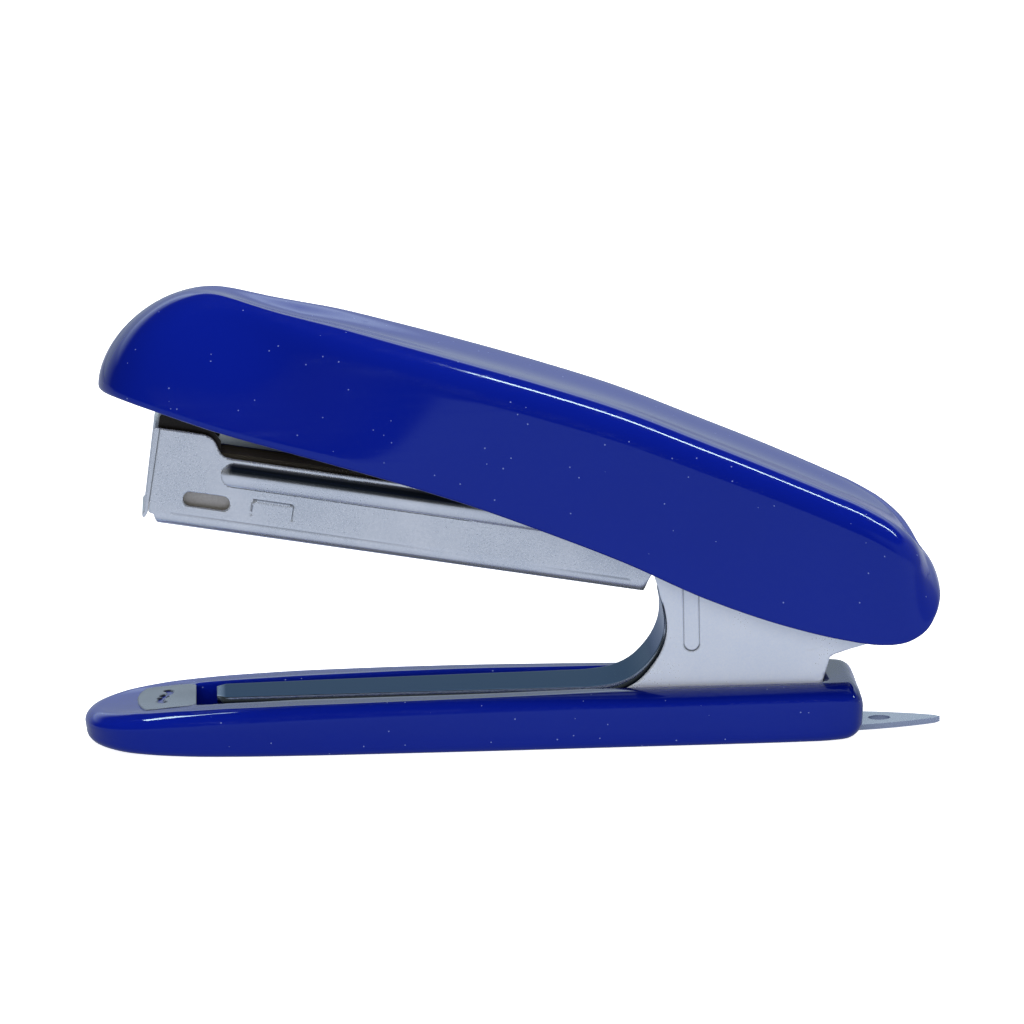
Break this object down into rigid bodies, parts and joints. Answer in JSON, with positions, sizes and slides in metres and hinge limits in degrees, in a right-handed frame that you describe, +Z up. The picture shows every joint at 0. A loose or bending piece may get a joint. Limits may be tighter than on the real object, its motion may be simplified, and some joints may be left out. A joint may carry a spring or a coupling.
{
  "type": "stapler",
  "caption": "Slim hand stapler with a moulded handle and base, sheet steel magazine with a loading window, anvil plate and a flat remover tongue at the rear.",
  "frame": {"origin": "under the middle of the whole object's bounding box, on the surface it stands on", "axes": "+X along the length to the hinge end and remover tongue (nose towards -X), +Y across the width, +Z up"},
  "size_m": [0.108, 0.0256, 0.0577],
  "materials": {
    "blue_plastic": "gloss moulded ABS",
    "plated_steel": "bright zinc-nickel plated sheet",
    "dark_steel": "blackened steel",
    "spring_steel": "polished spring steel",
    "staple_wire": "glued galvanised wire",
    "black_acetal": "moulded acetal"
  },
  "bodies": {
    "base": {"base_cover": "blue_plastic", "base_frame": "plated_steel", "anvil_plate": "plated_steel", "remover_claw": "plated_steel", "claw_rivets": "plated_steel", "spring_rivet": "plated_steel", "hinge_pin": "plated_steel", "lift_spring": "spring_steel"},
    "magazine": {"magazine_channel": "plated_steel", "front_guide": "dark_steel", "staple_rail": "plated_steel", "rail_rivets": "plated_steel", "staple_strip": "staple_wire"},
    "feeder": {"feeder_channel": "plated_steel", "guide_rod": "spring_steel", "pusher_spring": "spring_steel", "return_spring": "spring_steel"},
    "pusher": {"staple_pusher": "black_acetal"},
    "handle": {"handle_cover": "blue_plastic", "driver_arm": "plated_steel", "driver_blade": "spring_steel", "blade_rivets": "plated_steel", "arm_screws": "plated_steel"}
  },
  "joints": [
    {"name": "magazine_hinge", "type": "hinge", "parent": "base", "child": "magazine", "pos_m": [0.046, 0, 0.0188], "axis": [0, 1, 0], "range_deg": [-14.6, 0], "stiffness_Nm_per_rad": 0.15, "springref_deg": 34.38, "deforming": ["lift_spring"]},
    {"name": "loading_hinge", "type": "hinge", "parent": "magazine", "child": "feeder", "pos_m": [0.046, 0, 0.0188], "axis": [0, 1, 0], "range_deg": [0, 80]},
    {"name": "press_hinge", "type": "hinge", "parent": "feeder", "child": "handle", "pos_m": [0.046, 0, 0.0188], "axis": [0, 1, 0], "range_deg": [-3.8, 0], "stiffness_Nm_per_rad": 0.6, "springref_deg": 8.59, "deforming": ["return_spring"]},
    {"name": "pusher_slide", "type": "slide", "parent": "feeder", "child": "pusher", "axis": [0.986, 0, -0.1666], "range_m": [0, 0.022], "stiffness_N_per_m": 30, "springref_m": -0.03, "deforming": ["pusher_spring"]}
  ]
}
